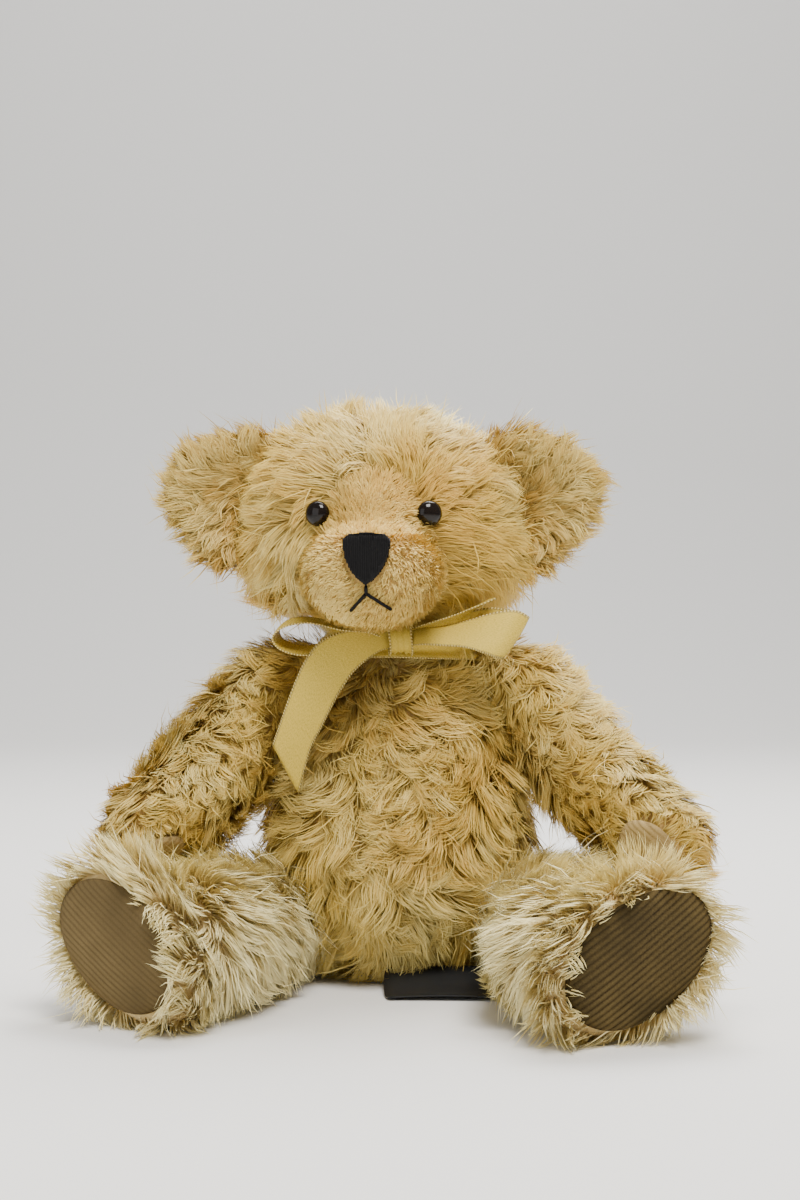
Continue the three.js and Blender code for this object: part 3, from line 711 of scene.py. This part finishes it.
# ---------------------------------------------------------------- ears
# Each ear is a flap of two plush layers, cupped open to the front and sewn to the side of the head.
# Its front pile is shorter, the pile is painted darker and browner near the seam as the shade in
# the recess by the head, and long pale tufts stand off its rim.
# Painted shade: this copy of the mohair is darker and browner than the body's, for the shade inside
# the cupped ears.
shaded_ear_mohair = mohair_finish(
    "shaded_ear_mohair", (0.27, 0.14, 0.02), (0.6, 0.355, 0.065), (0.96, 0.79, 0.28), (0.56, 0.3, 0.05)
)
EAR_HAIRS = 9600
EAR_PILE = {"front": 6.0, "back": 8.0}
EAR_REACH = 22 * MM  # from an ear's seam to its rim
for side, sign in SIDES.items():
    rng = np.random.default_rng(51 + sign)
    flap = stuffed_skin(
        f"ear_cloth_{side}", f"ear_{side}", 0.3 * MM, growth=0.1 * MM, voxel=1.1 * MM
    )
    roots, normals = spread_over(flap, EAR_HAIRS, rng)
    bare = inside(roots, head_skin, 0.5 * MM)
    roots, normals = roots[~bare], normals[~bare]
    seam = np.array((-5 + 27 * sign, -8, 128.5)) * MM
    outward = roots - seam
    front = normals[:, 1] < 0
    rim = np.clip(np.linalg.norm(outward[:, ::2], axis=1) / EAR_REACH, 0, 1)
    upper = np.clip(outward[:, 2] / (9 * MM), -1, 1)
    lower = np.clip(-upper, 0, 1) * rim
    near_head = np.clip(1.2 - 2 * rim, 0, 1) * np.clip(upper, 0, 1)
    rising = 0.3 * upper - 0.35 - 0.5 * lower + 0.7 * near_head
    comb = unit(outward) + ways_like(roots, 0.35 * sign - 0.4 * sign * near_head, 0.0, rising)
    corner = np.clip(upper, 0, 1) * np.clip((rim - 0.6) / 0.4, 0, 1)
    length = np.where(front, EAR_PILE["front"], EAR_PILE["back"])
    length = length + 3.0 * rim ** 3 + 1.5 * corner + 3.5 * lower + 3.5 * near_head
    # Painted shade: the pile is darker and browner near the seam, where the ear's recess by the
    # head lies in shade, and paler out to the rim.
    pale = 0.05 + 0.7 * rim ** 1.8 + 0.2 * pale_patches(roots, 6 * MM)
    warm = 0.55 - 0.35 * rim + 0.2 * warm_patches(roots)
    pile = lay_pile(
        f"ear_pile_{side}", roots, normals, comb, length, pale, warm, rng, swirl=0.45, curl=0.7,
        width=0.42, lift=(38, 6), ragged=0.9,
    )
    finish_cover(flap, pile, [f"ear_{side}"], fur=shaded_ear_mohair)


# ---------------------------------------------------------------- eyes
# Each eye is a domed black button, pushed through the cloth on its shank and locked behind it by a
# washer. It is moulded glossy plastic.
def pole_of(node):
    """The front of an eye, and the way it faces."""
    at = points_of(node).astype(float)
    axis = np.linalg.svd(at - at.mean(0), full_matrices=False)[2][0]
    facing = axis if axis[1] < 0 else -axis
    return Vector(at[np.argmax(at @ facing)]), Vector(facing)


eye_finish = Finish("black_eye_plastic", Roughness=0.1, Specular_IOR_Level=0.28)
depth_of_black = eye_finish.noise(eye_finish.place(), 260, 2)
eye_finish.set(
    Base_Color=eye_finish.mix(depth_of_black, (0.004, 0.003, 0.003), (0.014, 0.009, 0.006))
)
EYE_RADIUS = 3.5 * MM
EYE_DEPTH = 2.4 * MM  # from the front of its dome to its widest part
for side in SIDES:
    pole, facing = pole_of(f"eye_{side}")
    bpy.ops.object.select_all(action="DESELECT")
    bpy.ops.mesh.primitive_uv_sphere_add(segments=40, ring_count=24, radius=EYE_RADIUS)
    eye = bpy.context.object
    eye.name = f"eye_button_{side}"
    eye.scale = (1, 1, EYE_DEPTH / EYE_RADIUS)
    eye.rotation_euler = facing.to_track_quat("Z", "Y").to_euler()
    eye.location = pole - facing * EYE_DEPTH
    bpy.ops.object.transform_apply(location=True, rotation=True, scale=True)
    bpy.ops.object.shade_smooth()
    eye_finish.dress(eye)
    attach(eye, "root")
    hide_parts(f"eye_{side}")


# ---------------------------------------------------------------- soles and paw pads
# The soles and palms are corduroy panels sewn into the covers, about 18 wales to the inch. They are
# rubbed flat where they wear, and the left sole is the dirtiest. The soles are also painted dark
# all over as shade, since they face down and away from the light, and the grooves of all the panels
# are painted darker than the ridges as the shade in them.
WALE = 1.45 * MM  # from one ridge of the corduroy to the next
SEAM_REACH = 1.04  # how far a panel reaches over the edge of the cover round it
SEAM_TUCK = 1.1 * MM  # how far its edge is drawn down into the seam
CORD_THICK = 0.9 * MM
CORD_RUCK = 0.22 * MM  # how far it is pushed up and down by lumps in the stuffing


def panel_place(node, inner):
    """A panel node's outer middle, its long and short axes, its outward normal and half sizes."""
    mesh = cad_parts[node].data
    at = points_of(node).astype(float)
    normals = numbers(mesh.polygons, "normal", 3).astype(float)
    area = np.array([p.area for p in mesh.polygons])
    away = np.linalg.svd(at - at.mean(0), full_matrices=False)[2][2]
    away = away * np.sign(away @ (at.mean(0) - inner))
    outer = normals @ away > 0.75
    out = unit((normals[outer] * area[outer, None]).sum(0))
    height = at @ out
    front = at[height > np.quantile(height, 0.5)]
    flat = (front - front.mean(0)) - ((front - front.mean(0)) @ out)[:, None] * out
    long_axis = np.linalg.svd(flat, full_matrices=False)[2][0]
    long_axis = long_axis * np.sign(long_axis[2] or 1)
    short_axis = np.cross(out, long_axis)
    spans = [np.ptp(front @ axis) / 2 for axis in (long_axis, short_axis)]
    mids = [(front @ axis).max() - span for axis, span in zip((long_axis, short_axis), spans)]
    middle = long_axis * mids[0] + short_axis * mids[1] + out * height.max()
    return middle, long_axis, short_axis, out, spans


def cord_panel(name, node, stuffing, finish, crown, wear_seed, ribs):
    """A corduroy panel with its wales along its length, crowned by the stuffing behind it.

    ribs is how much of the wales' height has not been rubbed off.
    """
    middle, long_axis, short_axis, out, spans = panel_place(node, middle_of(stuffing))
    half_long, half_short = (SEAM_REACH * span for span in spans)
    wales = int(round(2 * half_short / WALE))
    bpy.ops.object.select_all(action="DESELECT")
    bpy.ops.mesh.primitive_grid_add(x_subdivisions=28, y_subdivisions=wales * 6, size=2)
    panel = bpy.context.object
    panel.name = name
    square = numbers(panel.data.vertices, "co", 3).astype(float)
    across = square[:, 1]
    along = square[:, 0] * np.sqrt(np.maximum(1 - across ** 2, 0.02))
    uneven = 1 + 0.025 * waves(unit(np.stack([along, across], 1)) @ np.eye(2, 3), 0.5, wear_seed)[2]
    rim = np.minimum(along ** 2 + across ** 2, 1)
    worn = 0.5 + 0.5 * waves(np.stack([along, across, 0 * along], 1), 0.7, wear_seed)[0]
    wobble, drift, fade = waves(np.stack([along, across, 0 * along], 1), 0.4, wear_seed + 1)
    wale = np.abs(np.sin(across * wales * math.pi / 2 + 0.5 * drift)) ** 0.7
    wale = wale * np.clip(0.85 + 0.3 * fade, 0.3, 1)
    height = crown * (1 - rim) + CORD_RUCK * wobble - SEAM_TUCK * rim ** 8
    height = height + ribs * (0.2 + 0.25 * np.clip(worn, 0, 1)) * MM * wale
    at = middle + np.outer(along * uneven * half_long, long_axis)
    at = at + np.outer(across * uneven * half_short, short_axis)
    at = at + np.outer(height, out)
    at[:, 2] = np.maximum(at[:, 2], FLOOR_GAP)
    panel.data.vertices.foreach_set("co", at.astype(np.float32).ravel())
    layer = panel.data.uv_layers[0]
    corners = numbers(panel.data.loops, "vertex_index", 1)[:, 0].astype(int)
    uv = np.stack([square[:, 0], across], 1)[corners] * 0.5 + 0.5
    layer.uv.foreach_set("vector", uv.astype(np.float32).ravel())
    layer.name = "OFBake"
    wear = panel.data.attributes.new("wear", "FLOAT", "POINT")
    wear.data.foreach_set("value", np.clip(worn, 0, 1).astype(np.float32))
    groove = panel.data.attributes.new("wale", "FLOAT", "POINT")
    groove.data.foreach_set("value", wale.astype(np.float32))
    thick = panel.modifiers.new("cloth", "SOLIDIFY")
    thick.thickness = CORD_THICK
    thick.offset = -1
    bpy.ops.object.modifier_apply(modifier=thick.name)
    bpy.ops.object.shade_smooth()
    finish.dress(panel)
    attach(panel, "root")
    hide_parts(node)
    flat = (2 * half_short, 2 * half_long)
    math.pi / 4 * flat[0] * flat[1]


def cord_finish(name, groove, ridge, dirt, dirt_share):
    """Corduroy, painted dark in its grooves as the shade in them and pale on its ridges, with
    stains over a share of it.
    """
    finish = Finish(name, Roughness=0.95, Specular_IOR_Level=0.15)
    place = finish.place()
    wale = finish.node("Attribute", out="Fac", attribute_name="wale")
    wear = finish.node("Attribute", out="Fac", attribute_name="wear")
    nap = finish.noise(place, 2600, 3)
    stain = finish.noise(place, 38, 4)
    # Painted shade: the grooves between the wales are darker than the ridges.
    tone = wale * 0.75 + (nap - 0.5) * 0.7 + wear * 0.12
    cloth = finish.mix(finish.node("Clamp", {0: tone}), groove, ridge)
    soiled = finish.node("MapRange", {"Value": stain, "From Min": 0.42, "From Max": 0.68,
                                      "To Max": dirt_share})
    finish.set(Base_Color=finish.mix(soiled, cloth, dirt))
    finish.bump(nap * 0.6 + wale * 0.4, 0.12 * MM)
    return finish


# Painted shade: both sole finishes are dark all over, because the soles face down and away from the
# light; the stains on them are dirt.
cord_brown = cord_finish("corduroy_soiled_and_shaded", (0.011, 0.0075, 0.003), (0.13, 0.09, 0.032),
                         (0.02, 0.0145, 0.006), 0.9)
cord_tan = cord_finish("corduroy_rubbed_and_shaded", (0.085, 0.058, 0.023), (0.185, 0.13, 0.055),
                       (0.08, 0.055, 0.022), 0.65)
cord_bald = cord_finish("corduroy_bald", (0.19, 0.125, 0.045), (0.5, 0.37, 0.165),
                        (0.24, 0.15, 0.055), 0.5)
SOLES = {"left": (cord_brown, 3, 1.0), "right": (cord_tan, 8, 0.45)}  # finish, seed and ribs
SOLE_CROWN = 1.2 * MM
PALM_CROWN = 0.8 * MM
for side, (cord, seed, ribs) in SOLES.items():
    cord_panel(f"sole_{side}", f"foot_pad_{side}", f"leg_stuffing_{side}",
               cord, SOLE_CROWN, seed, ribs)
    cord_panel(f"palm_{side}", f"paw_pad_{side}", f"arm_stuffing_{side}",
               cord_bald, PALM_CROWN, seed + 2, 0.15)


# ---------------------------------------------------------------- nose and mouth
# The nose is a shield of upright satin stitches in black embroidery thread, laid side by side over
# the front of the muzzle. Two slanting stitches and one short one make the mouth.
THREAD = 0.34 * MM  # half as thick as the thread, as all of these are
STITCH_PITCH = 0.47 * MM  # from one stitch of the nose to the next


def threads(name, paths, thick, tuck):
    """Stitches of thread along paths, each with both ends tucked into the cloth behind."""
    curve = bpy.data.curves.new(name, "CURVE")
    curve.dimensions = "3D"
    curve.bevel_depth = thick
    curve.bevel_resolution = 2
    curve.resolution_u = 3
    curve.use_fill_caps = True
    for path in paths:
        ends = [path[0] + Vector((0, tuck, 0)), *path, path[-1] + Vector((0, tuck, 0))]
        line = curve.splines.new("NURBS")
        line.points.add(len(ends) - 1)
        line.order_u = 4
        line.use_endpoint_u = True
        for point, at in zip(line.points, ends):
            point.co = (*at, 1)
    on_bench(name, curve)
    bpy.ops.object.convert(target="MESH")
    work = bpy.context.object
    work.name = name
    bpy.ops.object.shade_smooth()
    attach(work, "root")
    return work


thread_finish = Finish("black_thread", Roughness=0.6, Specular_IOR_Level=0.15)
ply = thread_finish.noise(thread_finish.place(), 2400, 2)
black, grey = (0.0015, 0.0015, 0.002), (0.008, 0.0075, 0.0075)
thread_finish.set(Base_Color=thread_finish.mix(ply, black, grey))
thread_finish.bump(ply, 0.1 * MM)

low, high = (Vector(corner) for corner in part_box("nose_embroidery"))
shield = tree_of("nose_embroidery")
stitches = []
columns = round((high.x - low.x) / STITCH_PITCH)
for i in range(columns):
    x = low.x + (i + 0.5) * (high.x - low.x) / columns
    front = []
    for z in np.linspace(high.z - 0.05 * MM, low.z + 0.05 * MM, 36):
        met = shield.ray_cast(Vector((x, low.y - 5 * MM, z)), Vector((0, 1, 0)))[0]
        if met:
            front.append(met)
    if len(front) > 3:
        middle = [front[j] for j in np.linspace(0, len(front) - 1, 7).round().astype(int)]
        stitches.append([p + Vector((0, 0.1 * MM * (i % 2), 0)) for p in middle])
nose = threads("nose_stitches", stitches, THREAD, 1.8 * MM)
thread_finish.dress(nose)
thread_finish.dress(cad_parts["nose_embroidery"])

MOUTH_THREAD = 0.46 * MM
SUNK = Vector((0, 0.8 * MM, 0))  # pulled down into the short pile
mouth = []
for part in ("centre", "left", "right"):
    at = points_of(f"mouth_stitch_{part}").astype(float)
    top, bottom = (Vector(at[np.argsort(step * at[:, 2])[:6]].mean(0)) for step in (-1, 1))
    if part == "centre":
        apex = bottom
    else:
        top = apex
    bow = Vector((0, -0.4 * MM, 0))
    path = [top, top.lerp(bottom, 0.33) + bow, top.lerp(bottom, 0.67) + bow, bottom]
    mouth.append([point + SUNK for point in path])
mouth_work = threads("mouth_stitches", mouth, MOUTH_THREAD, 2.2 * MM)
thread_finish.dress(mouth_work)
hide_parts("mouth_stitch_centre", "mouth_stitch_left", "mouth_stitch_right")


# ---------------------------------------------------------------- neck ribbon
# One length of 15 mm double-faced satin goes round the neck and is tied in a bow. It is woven with
# a row of bright picots along each edge, and its long end is cut at a slant.
# The stretches below do not quite match it: they add up to 373 mm along their middles, and are on
# average about 11 mm wide.
RIBBON_THICK = 0.35 * MM
ACROSS = 12

# Each stretch is a list of its two edges, in millimetres.
LONG_TAIL = [
    ((-2, -32, 98.6), (-2, -32, 94)), ((-6.5, -34, 98.9), (-5.6, -35, 93)),
    ((-11.5, -35.8, 98.9), (-9.2, -37.4, 90.6)), ((-17, -36.8, 98.1), (-12.8, -38.6, 87.2)),
    ((-22, -37.6, 95.6), (-16, -38.8, 82.4)), ((-25.6, -38, 91), (-18.6, -38.6, 77.6)),
    ((-28.6, -38.4, 84.6), (-21.4, -38.2, 72)), ((-31.4, -38.6, 77), (-24.4, -37.8, 66)),
    ((-34.6, -38.2, 67.8), (-27.5, -37, 54.4)),
]
RIGHT_LOOP = [
    ((-2, -31, 98.4), (-2, -32, 95)), ((-9, -27.5, 99.4), (-8, -36, 98)),
    ((-16, -26, 100.2), (-16, -38, 98.8)), ((-24, -26.5, 102.2), (-24.5, -39.5, 100.8)),
    ((-30, -27, 101.8), (-31.4, -40, 99.8)), ((-33.2, -27.5, 99), (-34.6, -40.6, 96.8)),
    ((-31.6, -28, 95.8), (-32.6, -40.4, 93.6)), ((-26, -28, 94.6), (-26.6, -39.2, 92)),
    ((-18, -28, 95.6), (-18, -36.6, 93)), ((-9, -29, 96), (-9, -34, 94.4)),
    ((-2, -30.5, 96.6), (-2, -31.5, 94.6)),
]
LEFT_LOOP = [
    ((2, -32, 98.4), (2, -32.5, 94.4)), ((7, -32, 99.2), (6.6, -37, 94.8)),
    ((12, -32.4, 99.8), (11.8, -39, 94.6)), ((18, -34, 101.2), (17.6, -40.2, 94.2)),
    ((25, -36, 103.4), (22.6, -40.6, 92.6)), ((31.4, -37.2, 104.2), (26.2, -40, 91.2)),
    ((35.2, -35.4, 102.4), (28, -37.4, 91.2)), ((32.4, -32, 103.6), (26, -33, 92.8)),
    ((25, -29.6, 105), (20.6, -30, 93.8)), ((16, -28.6, 103), (14, -29, 94.6)),
    ((8, -29, 100), (7.6, -29, 95.4)), ((2, -30, 98), (2, -30.5, 95)),
]
SHORT_TAIL = [
    ((2, -31.5, 98.8), (2, -31, 95.6)), ((8, -33.6, 100.6), (8.6, -29.6, 96.6)),
    ((14, -35.2, 102.4), (15, -27.8, 98.8)), ((20.6, -35.6, 105), (20.4, -24.8, 102)),
    ((26.4, -34, 107.2), (23, -23.4, 104.6)),
]


def smooth_line(points, steps):
    """Points evenly along a Catmull-Rom curve through these ones."""
    p = np.array(points, float)
    p = np.concatenate([[2 * p[0] - p[1]], p, [2 * p[-1] - p[-2]]])
    t = np.linspace(0, len(points) - 1 - 1e-6, steps + 1)
    i = t.astype(int)
    t = (t - i)[:, None]
    a, b, c, d = p[i], p[i + 1], p[i + 2], p[i + 3]
    return 0.5 * (2 * b + (c - a) * t + (2 * a - 5 * b + 4 * c - d) * t ** 2
                  + (3 * b - a - 3 * c + d) * t ** 3)


def satin_stretch(edges, steps, cup=0.0, seed=0):
    """A grid of points between two edges, cupped across its width and gently rippled."""
    first = smooth_line([e[0] for e in edges], steps)
    second = smooth_line([e[1] for e in edges], steps)
    share = np.linspace(0, 1, ACROSS + 1)[None, :, None]
    grid = first[:, None] * (1 - share) + second[:, None] * share
    across = unit(second - first)
    along = unit(np.gradient((first + second) / 2, axis=0))
    face = unit(np.cross(along, across))
    bow = 4 * share * (1 - share)
    ripple = waves(grid.reshape(-1, 3), 9.0, seed)[0].reshape(grid.shape[:2])[..., None]
    return grid + face[:, None] * (cup * bow + 0.25 * ripple)


# The neck turn and the knot, in millimetres.
NECK_MIDDLE = np.array((0, -6.5, 95.0))
NECK_ROUND = (22.2, 20.7)
KNOT_MIDDLE = np.array((0.2, -32.2, 96.2))
KNOT_HALF = (3.1, 2.9, 4.1)


def neck_stretch(steps):
    """The turn round the neck, gathered into a fold along its middle."""
    turn = np.linspace(0, 2 * math.pi, steps + 1)[:, None]
    share = np.linspace(-1, 1, ACROSS + 1)[None, :]
    fold = 0.9 * np.cos(share * 2.2 * math.pi) + 0 * turn
    reach = fold + 0.5 * np.sin(3 * turn)
    x = (NECK_ROUND[0] + reach) * np.cos(turn)
    y = (NECK_ROUND[1] + reach) * np.sin(turn)
    z = 4.4 * share + 0.5 * np.sin(2 * turn + share)
    return NECK_MIDDLE + np.stack([x, y, z], 2)


def knot_stretch(steps):
    """The turn that wraps the middle of the bow, pleated and pinched at its waist."""
    turn = np.linspace(0, 2 * math.pi, steps + 1)[:, None]
    share = np.linspace(-1, 1, ACROSS + 1)[None, :]
    waist = 1 - 0.16 * (1 - share ** 2) + 0.09 * np.cos(share * 4 * math.pi)
    x = KNOT_HALF[0] * share + 0.25 * np.sin(2 * turn)
    y = KNOT_HALF[1] * waist * np.cos(turn)
    z = KNOT_HALF[2] * waist * np.sin(turn)
    return KNOT_MIDDLE + np.stack([x, y, z], 2)


def satin_piece(name, stretches):
    """One cloth mesh of several stretches. Its map runs across the width and along the length."""
    verts, faces, marks = [], [], []
    for grid in stretches:
        rows = len(grid)
        start = len(verts)
        verts += [tuple(p) for p in grid.reshape(-1, 3) * MM]
        length = np.concatenate([[0], np.cumsum(
            np.linalg.norm(np.diff(grid[:, ACROSS // 2], axis=0), axis=1))])
        marks += [(k / ACROSS, length[r]) for r in range(rows) for k in range(ACROSS + 1)]
        for r in range(rows - 1):
            for k in range(ACROSS):
                a = start + r * (ACROSS + 1) + k
                faces.append((a, a + 1, a + ACROSS + 2, a + ACROSS + 1))
    mesh = bpy.data.meshes.new(name)
    mesh.from_pydata(verts, [], faces)
    layer = mesh.uv_layers.new(name="weave")
    corners = numbers(mesh.loops, "vertex_index", 1)[:, 0].astype(int)
    layer.uv.foreach_set("vector", np.array(marks, np.float32)[corners].ravel())
    cloth = on_bench(name, mesh)
    thick = cloth.modifiers.new("thickness", "SOLIDIFY")
    thick.thickness = RIBBON_THICK
    thick.offset = 0
    bpy.ops.object.modifier_apply(modifier=thick.name)
    bpy.ops.object.shade_smooth()
    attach(cloth, "root")
    return cloth


PICOT_PITCH = 0.8  # in millimetres
satin = Finish("gold_satin", Anisotropic=0.6, Specular_IOR_Level=0.5)
satin.set(Specular_Tint=(1.0, 0.8, 0.36))
map_place = satin.node("UVMap", uv_map="weave")
u = satin.node("SeparateXYZ", {0: map_place}, "X")
length = satin.node("SeparateXYZ", {0: map_place}, "Y")
edge = satin.node("Math", {0: (u - 0.5)}, operation="ABSOLUTE") * 2
# The edge is a row of raised picots, with a darker line of weave inside it.
selvedge = satin.node("MapRange", {"Value": edge, "From Min": 0.9, "From Max": 0.93})
seam_line = satin.node("MapRange", {"Value": edge, "From Min": 0.86, "From Max": 0.9}) - selvedge
picot = satin.node("Math", {0: length * (2 * math.pi / PICOT_PITCH)}, operation="SINE") * 0.5 + 0.5
grain_place = satin.node("CombineXYZ", {"X": u * 70, "Y": length * 1.6})
grain_and_sheen = satin.noise(grain_place, 1.0, 2.0, noise_dimensions="2D")
tone = satin.noise(satin.place(), 70, 2)
# The light and dark streaks along the ribbon are partly the weave's grain and partly painted satin
# sheen.
cloth = satin.mix(grain_and_sheen * 0.8 + tone * 0.2, (0.36, 0.24, 0.025), (0.87, 0.65, 0.11))
cloth = satin.mix(satin.node("Clamp", {0: seam_line}) * 0.55, cloth, (0.30, 0.2, 0.05))
cloth = satin.mix(selvedge, cloth, satin.mix(picot, (0.34, 0.23, 0.05), (0.84, 0.68, 0.26)))
satin.set(Base_Color=cloth, Roughness=0.2 + grain_and_sheen * 0.16)
satin.bump(grain_and_sheen * 0.5 + selvedge * picot, 0.35 * MM)

bow = satin_piece("neck_ribbon_bow", [
    neck_stretch(90),
    satin_stretch(LONG_TAIL, 60, 0.5, 3),
    satin_stretch(RIGHT_LOOP, 70, 0.2, 4),
    satin_stretch(LEFT_LOOP, 76, -0.5, 5),
    satin_stretch(SHORT_TAIL, 30, 0.8, 6),
    knot_stretch(32),
])
satin.dress(bow)
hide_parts("neck_ribbon")


# ---------------------------------------------------------------- seat label
# A short length of black woven satin tape is sewn into the seat seam and lies on the table by the
# left leg. It is plain.
LABEL_EDGES = [
    ((-4, -24, 4.6), (29, -24, 4.6)), ((-4.4, -30, 3.2), (29, -30, 3.2)),
    ((-4.4, -37, 1.6), (29, -37, 1.6)), ((-4, -43, 0.8), (29, -43.4, 1.0)),
    ((-3.2, -46.4, 1.0), (28.6, -47.4, 0.8)),
]
label_finish = Finish("black_label_tape", Roughness=0.55, Specular_IOR_Level=0.3)
map_place = label_finish.node("UVMap", uv_map="weave")
u = label_finish.node("SeparateXYZ", {0: map_place}, "X")
length = label_finish.node("SeparateXYZ", {0: map_place}, "Y")
warp = label_finish.node("Math", {0: u * 700}, operation="SINE") * 0.5 + 0.5
weft = label_finish.node("Math", {0: length * 22}, operation="SINE") * 0.5 + 0.5
weave = warp * weft
label_finish.set(Base_Color=label_finish.mix(weave, (0.004, 0.0045, 0.005), (0.03, 0.031, 0.033)))
label_finish.bump(weave, 0.08 * MM)
label = satin_piece("seat_label_tape", [satin_stretch(LABEL_EDGES, 24, 0.5, 9)])
label_finish.dress(label)
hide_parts("seat_label")


# ---------------------------------------------------------------- stuffing and washers
# The stuffing is loose white polyester fibre, and the washers are plain moulded plastic. Both are
# shut in by the covers.
fibre = Finish("polyester_fibre", Roughness=1.0)
strands = fibre.noise(fibre.place(), 700, 4)
fibre.set(Base_Color=fibre.mix(strands, (0.72, 0.7, 0.66), (0.9, 0.89, 0.86)))
fibre.bump(strands, 0.5 * MM)
washer_plastic = Finish("washer_plastic", Roughness=0.45)
flow_marks = washer_plastic.noise(washer_plastic.place(), 300, 2)
washer_plastic.set(
    Base_Color=washer_plastic.mix(flow_marks, (0.74, 0.72, 0.66), (0.82, 0.8, 0.74))
)
fibre.dress(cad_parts["body_stuffing"])
fibre.dress(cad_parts["head_stuffing"])
for side in SIDES:
    fibre.dress(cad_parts[f"arm_stuffing_{side}"])
    fibre.dress(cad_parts[f"leg_stuffing_{side}"])
    washer_plastic.dress(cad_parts[f"eye_washer_{side}"])
